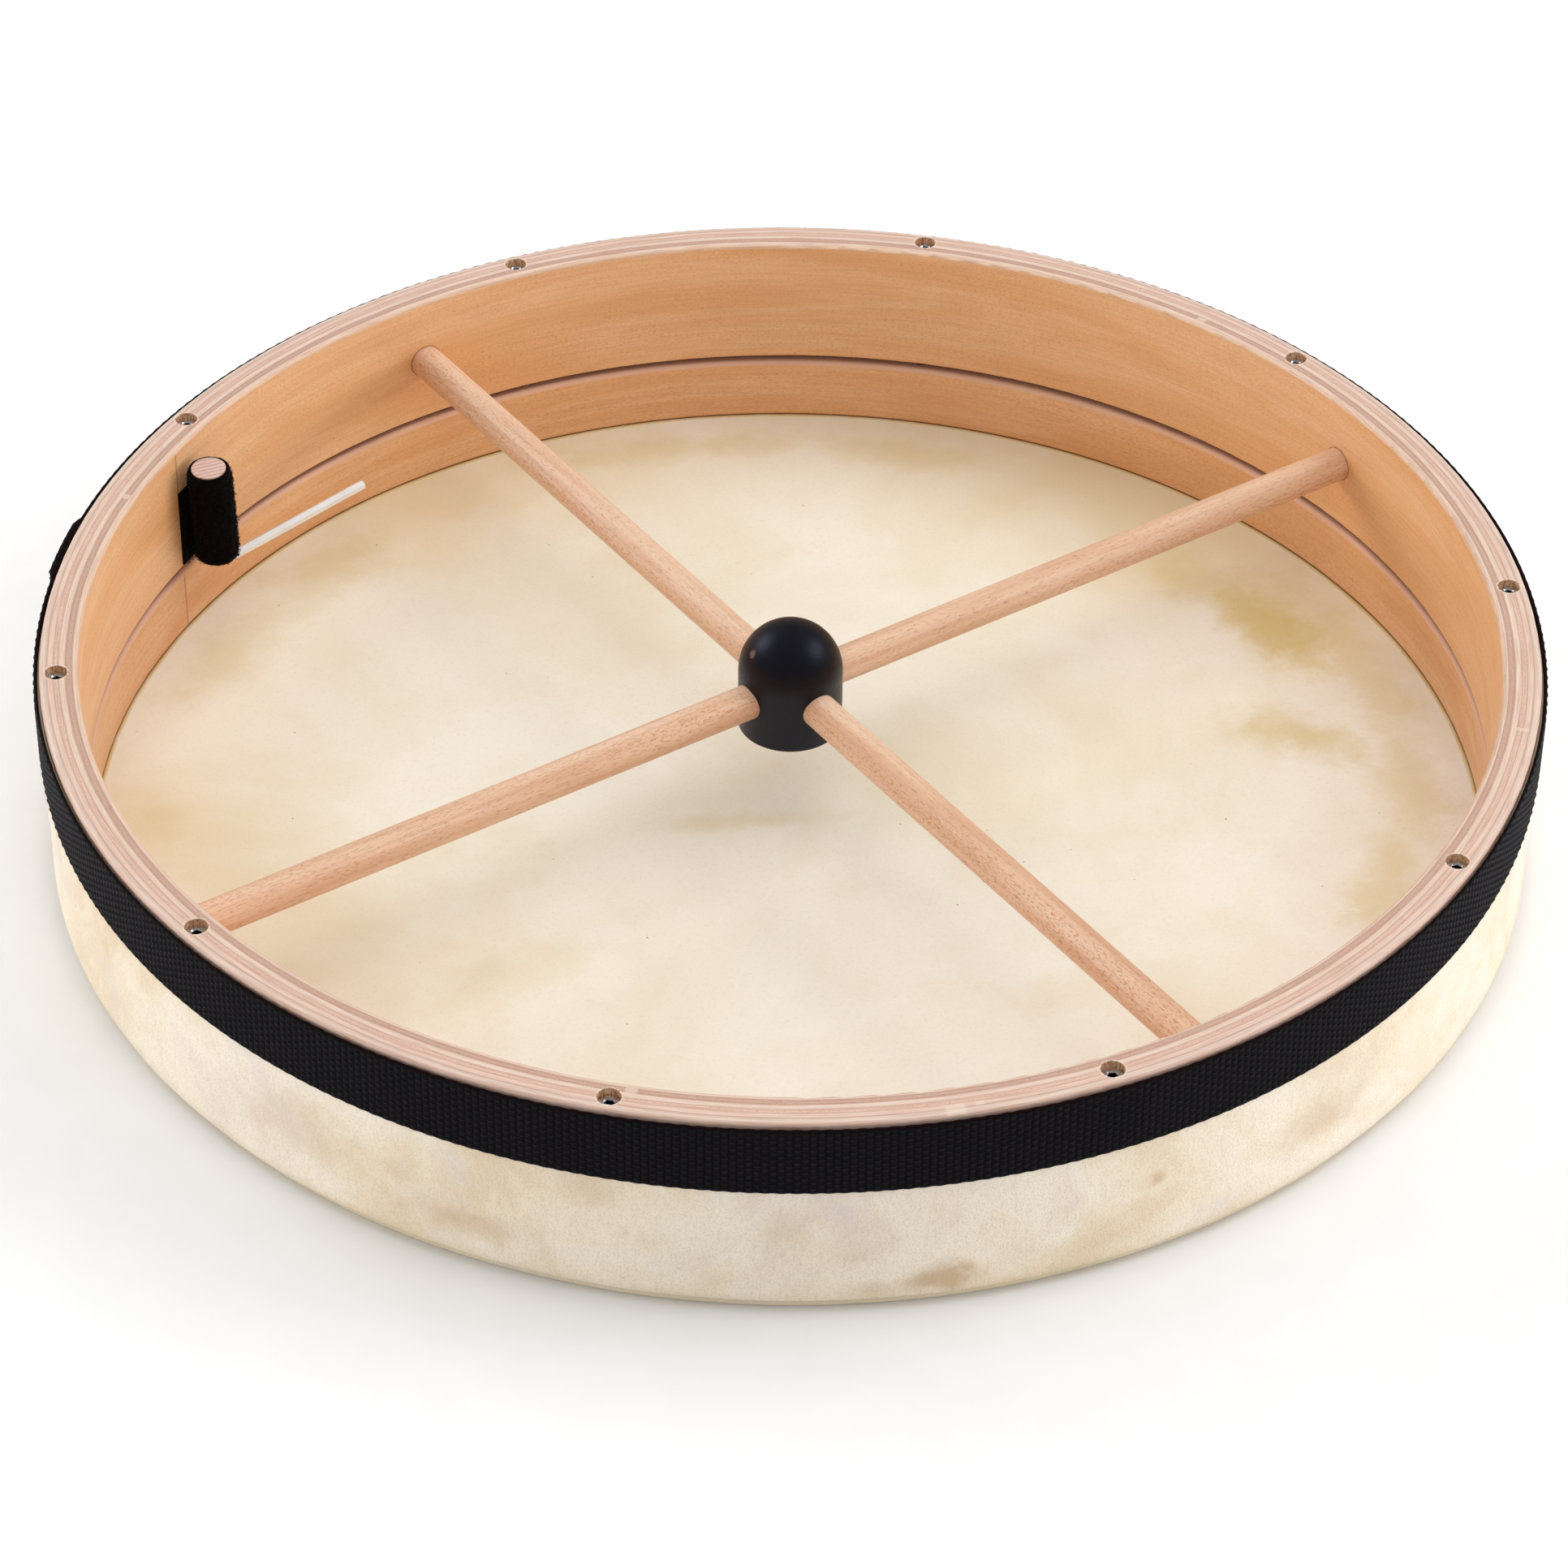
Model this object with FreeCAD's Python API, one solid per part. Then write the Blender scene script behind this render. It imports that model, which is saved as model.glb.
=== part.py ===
import FreeCAD, Part
import math
import os

# Tunable frame drum lying on its skin with the open side up.
# Millimetres, +Z up, origin on the floor at the drum's centre.

V = FreeCAD.Vector

# ---- overall drum
R_BAND = 250.0            # outside of the webbing band
HEIGHT = 76.0             # skin's underside to the rim's top face
BAND_T = 1.4              # webbing thickness
BAND_W = 25.0             # webbing width
BAND_BELOW_RIM = 1.5      # webbing's top edge below the rim's top face
SKIN_T = 0.8              # goatskin thickness
SHELL_T = 2.0             # outer shell, one bent ply
R_INNER = 235.0           # inner wall of the hoop and of the tuning ring

R_SKIRT = R_BAND - BAND_T
R_SHELL = R_SKIRT - SKIN_T
R_HOOP = R_SHELL - SHELL_T

SHELL_FOOT_Z = 4.6        # lower edge of the outer shell
SKIRT_TOP_Z = 72.0        # skin's trimmed edge, under the band
RIM_ROUND_OUT = 1.2
RIM_ROUND_IN = 1.5

# ---- fixed hoop and sliding tuning ring
HOOP_FOOT_Z = 27.4
RING_TOP_Z = 24.6
RING_CLEAR = 0.4          # sliding gap to the outer shell
RING_BED = 0.1            # gap to the skin at rest
RING_TOP_ROUND = 1.8
RING_EDGE_IN = 1.2
RING_EDGE_OUT = 2.5       # bearing edge
R_RING = R_HOOP - RING_CLEAR

# ---- tuning screws: M4 socket heads, 10 of them
SCREWS = 10
SCREW_R = 242.2
SCREW_A0 = 221.3          # azimuth of the first screw
SCREW_PITCH = 36.22       # stepped round from the first, so the last gap is short
SHANK_R = 2.0
SHANK_L = 45.9
HEAD_R = 3.5
HEAD_H = 4.0
HEX_AF = 3.0
HEX_DEPTH = 2.0
HEAD_RECESS = 2.4         # head's top below the rim's top face
COUNTERBORE_R = 3.8
COUNTERBORE_DEPTH = 12.0
CLEAR_R = 2.4
INSERT_R = 3.0
INSERT_L = 12.0
RUN_GAP = 0.05
CUP_R = 3.0
CUP_H = 2.4

# ---- crossbar
ROD_D = 12.0
ROD_Z = 51.0
ROD_A0 = 34.7
ROD_SOCKET = 7.5          # depth of each rod's socket in the hoop
HUB_D = 35.0
HUB_TOP_Z = 75.1
HUB_FOOT_Z = 35.7
HUB_SOCKET_R = 8.5        # rods stop this far from the hub's axis

# ---- tuning key on its hook-tape patch
KEY_A = 153.9             # azimuth of the handle
KEY_R = 224.8
KEY_TILT = 3.0            # handle's lean along the wall
HANDLE_R = 6.0
HANDLE_TOP_Z = 69.3
HANDLE_L = 38.3
SLEEVE_R = 7.6
KEY_AF = 3.0
KEY_LONG = 65.5           # handle's axis to the rod's free end
KEY_BEND = 5.0
KEY_IN = 16.0             # length of the short arm inside the handle
KEY_HEADING = 43.3        # azimuth that the long arm points to
PATCH_A0 = 149.6
PATCH_A1 = 155.7
PATCH_T = 2.2
PATCH_H = 30.0

# ---- staples under the band
STAPLES = 20
STAPLE_A0 = 13.3
STAPLE_Z = 62.0
STAPLE_W = 9.0
STAPLE_WIRE = 0.6
STAPLE_LEG = 5.5

# ---- overlap of the webbing's two ends
LAP_A0 = 166.6
LAP_A1 = 174.4
LAP_T = 1.5


def polar(radius, azimuth, z):
    a = math.radians(azimuth)
    return V(radius * math.cos(a), radius * math.sin(a), z)


def ring_angles(count, start):
    return [start + 360.0 * i / count for i in range(count)]


def screw_angles():
    return [(SCREW_A0 + SCREW_PITCH * i) % 360.0 for i in range(SCREWS)]


def lathe(points):
    """Solid of revolution about Z from a closed outline of (r, z) points.

    A third value rounds that corner with the given radius."""
    edges = []
    arcs = []
    n = len(points)
    for i in range(n):
        here = V(points[i][0], 0, points[i][1])
        before = V(points[i - 1][0], 0, points[i - 1][1])
        after = V(points[(i + 1) % n][0], 0, points[(i + 1) % n][1])
        radius = points[i][2] if len(points[i]) > 2 else 0.0
        if radius <= 0:
            arcs.append((here, here, None))
            continue
        u = (before - here).normalize()
        w = (after - here).normalize()
        half = u.getAngle(w) / 2.0
        reach = radius / math.tan(half)
        middle = (u + w).normalize()
        centre = here + middle * (radius / math.sin(half))
        start = here + u * reach
        end = here + w * reach
        arcs.append((start, end, centre - middle * radius))
    for i in range(n):
        start, end, middle = arcs[i]
        if middle is not None:
            edges.append(Part.Arc(start, middle, end).toShape())
        nxt = arcs[(i + 1) % n][0]
        if end.distanceToPoint(nxt) > 1e-6:
            edges.append(Part.LineSegment(end, nxt).toShape())
    face = Part.Face(Part.Wire(edges))
    return face.revolve(V(0, 0, 0), V(0, 0, 1), 360.0)


def post(radius, z0, z1, x=0.0, y=0.0):
    return Part.makeCylinder(radius, z1 - z0, V(x, y, z0))


def hexagon(across_flats, centre, normal, first):
    """Hexagonal face round a centre, one corner pointing along first."""
    corner = across_flats / math.sqrt(3.0)
    side = normal.cross(first)
    pts = []
    for k in range(7):
        a = math.radians(60.0 * k)
        pts.append(centre + first * (corner * math.cos(a)) + side * (corner * math.sin(a)))
    return Part.Wire(Part.makePolygon(pts))


def arc_block(r0, r1, z0, z1, a0, a1):
    """Sector of a ring between two azimuths."""
    outline = Part.makePolygon([V(r0, 0, z0), V(r1, 0, z0), V(r1, 0, z1), V(r0, 0, z1), V(r0, 0, z0)])
    block = Part.Face(outline).revolve(V(0, 0, 0), V(0, 0, 1), a1 - a0)
    block.rotate(V(0, 0, 0), V(0, 0, 1), a0)
    return block


def rod_along(azimuth, r0, r1, radius):
    start = polar(r0, azimuth, ROD_Z)
    return Part.makeCylinder(radius, r1 - r0, start, polar(1.0, azimuth, 0.0))


def staple(azimuth):
    """Staple facing the drum's axis: crown outside, two legs inwards."""
    crown = Part.makeBox(STAPLE_WIRE, STAPLE_W, STAPLE_WIRE)
    crown.translate(V(R_SKIRT, -STAPLE_W / 2.0, STAPLE_Z))
    body = crown
    for side in (-1, 1):
        leg = Part.makeBox(STAPLE_LEG + 0.2, STAPLE_WIRE, STAPLE_WIRE)
        y = side * (STAPLE_W - STAPLE_WIRE) / 2.0 - STAPLE_WIRE / 2.0
        leg.translate(V(R_SKIRT - STAPLE_LEG, y, STAPLE_Z))
        body = body.fuse(leg)
    body = body.removeSplitter()
    body.rotate(V(0, 0, 0), V(0, 0, 1), azimuth)
    return body


def make_staples():
    return Part.makeCompound([staple(a) for a in ring_angles(STAPLES, STAPLE_A0)])


def make_shell(staples):
    shell = lathe([
        (R_HOOP, SHELL_FOOT_Z),
        (R_SHELL, SHELL_FOOT_Z, 1.0),
        (R_SHELL, HEIGHT, RIM_ROUND_OUT),
        (R_HOOP, HEIGHT),
    ])
    return shell.cut(staples)


def make_hoop(staples):
    """Fixed laminated hoop, bored for the screws and the crossbar."""
    hoop = lathe([
        (R_INNER, HOOP_FOOT_Z, 0.4),
        (R_HOOP, HOOP_FOOT_Z),
        (R_HOOP, HEIGHT),
        (R_INNER, HEIGHT, RIM_ROUND_IN),
    ])
    cuts = []
    for a in screw_angles():
        p = polar(SCREW_R, a, 0.0)
        cuts.append(post(INSERT_R, HOOP_FOOT_Z - 1.0, HOOP_FOOT_Z + INSERT_L, p.x, p.y))
        cuts.append(post(CLEAR_R, HOOP_FOOT_Z, HEIGHT, p.x, p.y))
        cuts.append(post(COUNTERBORE_R, HEIGHT - COUNTERBORE_DEPTH, HEIGHT + 1.0, p.x, p.y))
    for a in ring_angles(4, ROD_A0):
        cuts.append(rod_along(a, R_INNER - 5.0, R_INNER + ROD_SOCKET, ROD_D / 2.0))
    return hoop.cut(Part.makeCompound(cuts)).cut(staples)


def make_ring():
    """Sliding tuning ring; its lower outer corner is the bearing edge."""
    ring = lathe([
        (R_INNER, SKIN_T + RING_BED, RING_EDGE_IN),
        (R_RING, SKIN_T + RING_BED, RING_EDGE_OUT),
        (R_RING, RING_TOP_Z, 0.8),
        (R_INNER, RING_TOP_Z, RING_TOP_ROUND),
    ])
    pockets = []
    for a in screw_angles():
        p = polar(SCREW_R - 0.6, a, 0.0)
        pockets.append(post(CUP_R, RING_TOP_Z - CUP_H, RING_TOP_Z + 1.0, p.x, p.y))
    return ring.cut(Part.makeCompound(pockets))


def make_cups():
    """Steel cups let into the ring's top, one under each screw's tip."""
    tip = HEIGHT - HEAD_RECESS - HEAD_H - SHANK_L
    cups = []
    for a in screw_angles():
        p = polar(SCREW_R - 0.6, a, 0.0)
        q = polar(SCREW_R, a, 0.0)
        cup = post(CUP_R, RING_TOP_Z - CUP_H, RING_TOP_Z, p.x, p.y)
        bore = post(SHANK_R + RUN_GAP, tip - RUN_GAP, RING_TOP_Z + 1.0, q.x, q.y)
        cups.append(cup.cut(bore))
    return Part.makeCompound(cups)


def make_inserts():
    """Brass threaded sleeves in the hoop's lower edge."""
    inserts = []
    for a in screw_angles():
        p = polar(SCREW_R, a, 0.0)
        sleeve = post(INSERT_R, HOOP_FOOT_Z, HOOP_FOOT_Z + INSERT_L, p.x, p.y)
        bore = post(SHANK_R + RUN_GAP, HOOP_FOOT_Z - 1.0, HOOP_FOOT_Z + INSERT_L + 1.0, p.x, p.y)
        inserts.append(sleeve.cut(bore))
    return Part.makeCompound(inserts)


def make_screw(azimuth):
    top = HEIGHT - HEAD_RECESS
    under = top - HEAD_H
    tip = under - SHANK_L
    screw = lathe([
        (0.0, tip),
        (SHANK_R - 0.5, tip),
        (SHANK_R, tip + 0.5),
        (SHANK_R, under),
        (HEAD_R, under),
        (HEAD_R, top, 0.4),
        (0.0, top),
    ])
    wire = hexagon(HEX_AF, V(0, 0, top - HEX_DEPTH), V(0, 0, 1), V(1, 0, 0))
    socket = Part.Face(wire).extrude(V(0, 0, HEX_DEPTH + 1.0))
    lead = Part.makeCone(1.5, 2.1, 0.6, V(0, 0, top - 0.55))
    screw = screw.cut(socket).cut(lead)
    screw.rotate(V(0, 0, 0), V(0, 0, 1), azimuth * 3.7)
    screw.translate(polar(SCREW_R, azimuth, 0.0))
    return screw


def make_head_skin():
    """Playing face: the flat of the skin inside the bearing edge."""
    return post(R_RING - RING_EDGE_OUT, 0.0, SKIN_T)


def make_skirt(staples):
    """Skin from the bearing edge up the outside of the shell."""
    flat = R_RING - RING_EDGE_OUT
    bend = RING_EDGE_OUT + 0.3
    foot = SHELL_FOOT_Z - 0.1
    lip = R_RING + 0.3
    inside = [
        (flat, SKIN_T),
        (lip, SKIN_T, bend),
        (lip, foot - 0.3, 0.4),
        (R_SHELL, foot, 0.6),
        (R_SHELL, SKIRT_TOP_Z),
    ]
    outside = [
        (R_SKIRT, SKIRT_TOP_Z),
        (R_SKIRT, foot - 0.5, 1.4),
        (lip + SKIN_T + 0.2, foot - 1.3, 0.8),
        (lip + SKIN_T, 0.0, bend + SKIN_T - 0.4),
        (flat, 0.0),
    ]
    return lathe(inside + outside).cut(staples)


def make_band(staples):
    """Webbing band, with one end lapped over the other."""
    z1 = HEIGHT - BAND_BELOW_RIM
    z0 = z1 - BAND_W
    band = lathe([(R_SKIRT, z0), (R_BAND, z0), (R_BAND, z1), (R_SKIRT, z1)])
    lap = arc_block(R_BAND - 0.2, R_BAND + LAP_T, z0, z1, LAP_A0, LAP_A1)
    return band.fuse(lap).removeSplitter().cut(staples)


def make_hub():
    radius = HUB_D / 2.0
    centre = HUB_TOP_Z - radius
    dome = Part.makeSphere(radius, V(0, 0, centre))
    keep = post(radius + 1.0, centre, HUB_TOP_Z + 1.0)
    barrel = lathe([
        (0.0, HUB_FOOT_Z),
        (radius, HUB_FOOT_Z, 0.8),
        (radius, centre),
        (0.0, centre),
    ])
    hub = barrel.fuse(dome.common(keep)).removeSplitter()
    sockets = []
    for a in ring_angles(4, ROD_A0):
        sockets.append(rod_along(a, HUB_SOCKET_R, radius + 5.0, ROD_D / 2.0))
    return hub.cut(Part.makeCompound(sockets))


def make_rod(azimuth):
    return rod_along(azimuth, HUB_SOCKET_R, R_INNER + ROD_SOCKET, ROD_D / 2.0)


def place_key(shape):
    """Lean the key along the wall and stand it beside its patch."""
    pivot = V(0, 0, HANDLE_TOP_Z - HANDLE_L)
    shape.rotate(pivot, polar(1.0, KEY_A, 0.0), -KEY_TILT)
    shape.translate(polar(KEY_R, KEY_A, 0.0))
    return shape


def key_arms():
    """L-shaped hexagonal bar: short arm up into the handle, long arm out."""
    foot = HANDLE_TOP_Z - HANDLE_L
    out = polar(1.0, KEY_HEADING, 0.0)
    z = foot - KEY_BEND + 1.2
    top = V(0, 0, foot + KEY_IN)
    bend0 = V(0, 0, z + KEY_BEND)
    bend1 = out * KEY_BEND + V(0, 0, z)
    s = KEY_BEND * (1.0 - math.sqrt(0.5))
    middle = out * s + V(0, 0, z + s)
    end = out * KEY_LONG + V(0, 0, z)
    path = Part.Wire([
        Part.LineSegment(top, bend0).toShape(),
        Part.Arc(bend0, middle, bend1).toShape(),
        Part.LineSegment(bend1, end).toShape(),
    ])
    profile = hexagon(KEY_AF, top, V(0, 0, 1), out)
    return path.makePipeShell([profile], True, True)


def make_key():
    foot = HANDLE_TOP_Z - HANDLE_L
    arms = key_arms()
    handle = post(HANDLE_R, foot, HANDLE_TOP_Z).cut(arms)
    sleeve = post(SLEEVE_R, foot + 0.6, HANDLE_TOP_Z - 0.5).cut(post(HANDLE_R, foot, HANDLE_TOP_Z))
    return [place_key(s) for s in (arms, handle, sleeve)]


def make_patch():
    z0 = HOOP_FOOT_Z + 0.8
    return arc_block(R_INNER - PATCH_T, R_INNER, z0, z0 + PATCH_H, PATCH_A0, PATCH_A1)


def save(shape, node):
    shape.exportStep("parts/" + node + ".step")
    solids = shape.Solids
    volume = sum(s.Volume for s in solids)
    print(node, len(solids), "solid(s)", round(volume, 1), "mm3", "valid", shape.isValid())


def main():
    os.makedirs("parts", exist_ok=True)
    staples = make_staples()
    save(make_shell(staples), "outer_shell")
    save(make_hoop(staples), "fixed_hoop")
    save(make_head_skin(), "head_skin")
    save(make_skirt(staples), "head_skirt")
    save(make_band(staples), "webbing_band")
    save(staples, "skin_staples")
    save(make_inserts(), "threaded_inserts")
    save(make_ring(), "tuning_ring")
    save(make_cups(), "thrust_cups")
    for i, a in enumerate(screw_angles()):
        save(make_screw(a), "tuning_screw_%02d" % (i + 1))
    for i, a in enumerate(ring_angles(4, ROD_A0)):
        save(make_rod(a), "crossbar_rod_%d" % (i + 1))
    save(make_hub(), "crossbar_hub")
    arms, handle, sleeve = make_key()
    save(arms, "key_arms")
    save(handle, "key_handle")
    save(sleeve, "key_sleeve")
    save(make_patch(), "hook_patch")


main()
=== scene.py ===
import math
import random

import bmesh
import bpy
import numpy as np
from mathutils import Matrix, Vector, noise


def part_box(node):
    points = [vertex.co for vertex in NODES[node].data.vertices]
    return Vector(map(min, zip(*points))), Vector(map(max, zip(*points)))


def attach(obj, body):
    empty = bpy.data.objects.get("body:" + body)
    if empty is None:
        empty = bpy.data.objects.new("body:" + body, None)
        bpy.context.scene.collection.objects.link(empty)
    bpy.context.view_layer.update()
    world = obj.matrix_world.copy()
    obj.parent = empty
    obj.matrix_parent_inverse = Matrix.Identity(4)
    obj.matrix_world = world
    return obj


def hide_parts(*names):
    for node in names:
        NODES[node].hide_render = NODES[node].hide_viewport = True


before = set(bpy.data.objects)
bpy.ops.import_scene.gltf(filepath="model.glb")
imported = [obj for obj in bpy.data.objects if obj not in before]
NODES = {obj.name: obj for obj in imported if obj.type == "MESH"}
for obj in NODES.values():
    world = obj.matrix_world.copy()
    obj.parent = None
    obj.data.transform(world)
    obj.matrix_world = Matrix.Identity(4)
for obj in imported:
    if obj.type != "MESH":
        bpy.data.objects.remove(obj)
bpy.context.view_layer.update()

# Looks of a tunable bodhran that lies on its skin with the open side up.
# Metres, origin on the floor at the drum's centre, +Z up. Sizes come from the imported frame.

MM = 0.001

RING_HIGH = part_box("tuning_ring")[1]
SKIRT_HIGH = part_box("head_skirt")[1]
SHELL_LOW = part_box("outer_shell")[0]
BAND_LOW, BAND_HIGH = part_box("webbing_band")

RIM_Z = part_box("fixed_hoop")[1].z
RING_R = RING_HIGH.x
SKIRT_R = SKIRT_HIGH.x
BAND_R = BAND_HIGH.x
INNER_R = 235.0 * MM          # inner wall of the hoop and of the tuning ring
SKIN_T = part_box("head_skin")[1].z
ROD_LOW, ROD_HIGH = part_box("crossbar_rod_1")
HUB_LOW, HUB_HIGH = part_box("crossbar_hub")

SCREWS = 10
SCREW_A0 = 221.3              # azimuth of the first screw, degrees
SCREW_PITCH = 36.22           # stepped from the first, so the last gap is short
SCREW_R = 242.2 * MM
COUNTERBORE_R = 3.8 * MM
WALL_JOINT_A = 155.6          # butt joint of the wall's veneer
ROD_A0 = 34.7
ROD_R = 6.0 * MM
ROD_Z = (ROD_LOW.z + ROD_HIGH.z) / 2.0
WEAVE_PAIRS = 327             # pairs of ribs round the webbing
WEAVE_ROWS = 19               # warp yarns across it
PAIR_COLUMNS = 8              # mesh columns to a pair of ribs
RIB_RELIEF = 0.55 * MM        # depth of the grooves between its ribs
LAP_FROM_A = 166.4            # azimuths between which its end laps its start
LAP_TO_A = 174.4
LAP_SINK = 0.75 * MM
LAP_RISE = 1.5 * MM
GRIP_R = 6.0 * MM             # the key's wooden grip
PILE_R = 7.6 * MM             # the pile round it
PILE_LOOPS = 4200
HOOKS_ACROSS = 22
HOOKS_UP = 30
FIBRES_PER_BORE = 54
CAMERA_ELEVATION = 36.3675    # degrees above the rim's plane
CAMERA_DISTANCE = 1.73455     # from the centre of the rim
CAMERA_LENS = 120.03
FLOOR_R = 6.0


# ---------------- small helpers

def srgb(r, g, b):
    """Linear RGBA colour from 0-255 display values."""
    out = []
    for c in (r, g, b):
        c = c / 255.0
        out.append(c / 12.92 if c <= 0.04045 else ((c + 0.055) / 1.055) ** 2.4)
    return (*out, 1.0)


def polar(radius, azimuth, z):
    a = math.radians(azimuth)
    return Vector((radius * math.cos(a), radius * math.sin(a), z))


def screw_angles():
    return [(SCREW_A0 + SCREW_PITCH * i) % 360.0 for i in range(SCREWS)]


class Graph:
    """Shader nodes of one material, written as calls."""

    def __init__(self, name):
        self.material = bpy.data.materials.new(name)
        self.material.use_nodes = True
        self.tree = self.material.node_tree
        self.shader = self.tree.nodes["Principled BSDF"]

    def node(self, kind, **settings):
        made = self.tree.nodes.new(kind)
        for key, value in settings.items():
            setattr(made, key, value)
        return made

    def put(self, socket, value):
        """Links a socket to another, or sets its value."""
        if isinstance(value, bpy.types.NodeSocket):
            self.tree.links.new(value, socket)
        else:
            socket.default_value = value

    def math(self, operation, a, b=0.0, c=0.0):
        made = self.node("ShaderNodeMath", operation=operation)
        for socket, value in zip(made.inputs, (a, b, c)):
            self.put(socket, value)
        return made.outputs[0]

    def vector_math(self, operation, a, b=(0.0, 0.0, 0.0)):
        made = self.node("ShaderNodeVectorMath", operation=operation)
        self.put(made.inputs[0], a)
        self.put(made.inputs[1], b)
        return made.outputs["Value" if operation == "LENGTH" else "Vector"]

    def position(self, turn=0.0):
        """Place on the object in metres, turned about Z by so many degrees."""
        place = self.node("ShaderNodeTexCoord").outputs["Object"]
        if not turn:
            return place
        made = self.node("ShaderNodeMapping")
        self.put(made.inputs["Vector"], place)
        made.inputs["Rotation"].default_value = (0.0, 0.0, math.radians(turn))
        return made.outputs[0]

    def split(self, vector):
        made = self.node("ShaderNodeSeparateXYZ")
        self.put(made.inputs[0], vector)
        return made.outputs[0], made.outputs[1], made.outputs[2]

    def join(self, x, y, z):
        made = self.node("ShaderNodeCombineXYZ")
        for socket, value in zip(made.inputs, (x, y, z)):
            self.put(socket, value)
        return made.outputs[0]

    def stretch(self, vector, x, y, z):
        return self.vector_math("MULTIPLY", vector, (x, y, z))

    def noise(self, vector, scale=1.0, detail=2.0, rough=0.5, warp=0.0):
        made = self.node("ShaderNodeTexNoise")
        self.put(made.inputs["Vector"], vector)
        made.inputs["Scale"].default_value = scale
        made.inputs["Detail"].default_value = detail
        made.inputs["Roughness"].default_value = rough
        made.inputs["Distortion"].default_value = warp
        return made.outputs[0]

    def cells(self, vector, scale, feature="F1"):
        made = self.node("ShaderNodeTexVoronoi", feature=feature)
        self.put(made.inputs["Vector"], vector)
        made.inputs["Scale"].default_value = scale
        return made.outputs["Distance"]

    def fit(self, value, low, high, to_low=0.0, to_high=1.0):
        """Maps low..high smoothly to to_low..to_high, held at both ends."""
        made = self.node("ShaderNodeMapRange", interpolation_type="SMOOTHSTEP")
        for socket, v in zip(made.inputs, (value, low, high, to_low, to_high)):
            self.put(socket, v)
        return made.outputs[0]

    def band(self, value, low, high, soft):
        """1 between low and high, falling to 0 over soft on each side."""
        rise = self.fit(value, low - soft, low + soft)
        fall = self.fit(value, high - soft, high + soft, 1.0, 0.0)
        return self.math("MULTIPLY", rise, fall)

    def ramp(self, value, stops):
        made = self.node("ShaderNodeValToRGB")
        points = made.color_ramp.elements
        while len(points) < len(stops):
            points.new(0.5)
        for point, (at, colour) in zip(points, stops):
            point.position = at
        for point, (at, colour) in zip(points, stops):
            point.color = colour
        self.put(made.inputs[0], value)
        return made.outputs[0]

    def mix(self, factor, a, b, blend="MIX"):
        made = self.node("ShaderNodeMix", data_type="RGBA", blend_type=blend)
        self.put(made.inputs[0], factor)
        self.put(made.inputs[6], a)
        self.put(made.inputs[7], b)
        return made.outputs[2]

    def scaled(self, value, amount):
        return self.math("MULTIPLY", value, amount)

    def bump(self, height, distance, strength=1.0, under=None):
        made = self.node("ShaderNodeBump")
        made.inputs["Strength"].default_value = strength
        made.inputs["Distance"].default_value = distance
        self.put(made.inputs["Height"], height)
        if under is not None:
            self.put(made.inputs["Normal"], under)
        return made.outputs[0]

    def finish(self, colour, roughness, normal=None, **constants):
        self.put(self.shader.inputs["Base Color"], colour)
        self.put(self.shader.inputs["Roughness"], roughness)
        if normal is not None:
            self.put(self.shader.inputs["Normal"], normal)
        for name, value in constants.items():
            self.shader.inputs[name.replace("_", " ")].default_value = value
        return self.material


# ---------------- materials

# Plies across the rim from the inner wall outwards: radius in mm, then colour.
PLIES = [
    (234.9, (232, 196, 166)),
    (235.6, (236, 204, 180)),
    (236.7, (240, 214, 196)),
    (237.1, (196, 160, 140)),
    (237.5, (206, 172, 154)),
    (238.3, (214, 180, 160)),
    (238.9, (198, 158, 138)),
    (239.3, (218, 186, 168)),
    (239.7, (242, 218, 200)),
    (240.9, (240, 212, 194)),
    (241.3, (210, 176, 156)),
    (241.8, (232, 200, 180)),
    (242.7, (232, 198, 178)),
    (243.1, (212, 176, 156)),
    (243.6, (240, 210, 192)),
    (244.8, (238, 208, 190)),
    (245.2, (204, 170, 152)),
    (245.7, (232, 208, 192)),
    (246.9, (236, 212, 196)),
    (247.5, (222, 190, 172)),
    (248.2, (226, 194, 178)),
]
PLY_SPAN = (234.0, 249.0)


def screw_distance(g, x, y):
    """Distance from the nearest screw's axis, seen from above, in metres."""
    azimuth = g.math("DEGREES", g.math("ARCTAN2", y, x))
    steps = g.math("SUBTRACT", azimuth, SCREW_A0 - SCREW_PITCH / 2.0)
    steps = g.math("FLOORED_MODULO", steps, 360.0)
    number = g.math("MINIMUM", g.math("FLOOR", g.math("DIVIDE", steps, SCREW_PITCH)), SCREWS - 1.0)
    middle = g.math("MULTIPLY_ADD", number, SCREW_PITCH, SCREW_PITCH / 2.0)
    off = g.scaled(g.math("SUBTRACT", steps, middle), math.radians(1.0) * SCREW_R)
    flat = g.join(x, y, 0.0)
    out = g.math("SUBTRACT", g.vector_math("LENGTH", flat), SCREW_R)
    return g.vector_math("LENGTH", g.join(out, off, 0.0))


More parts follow.
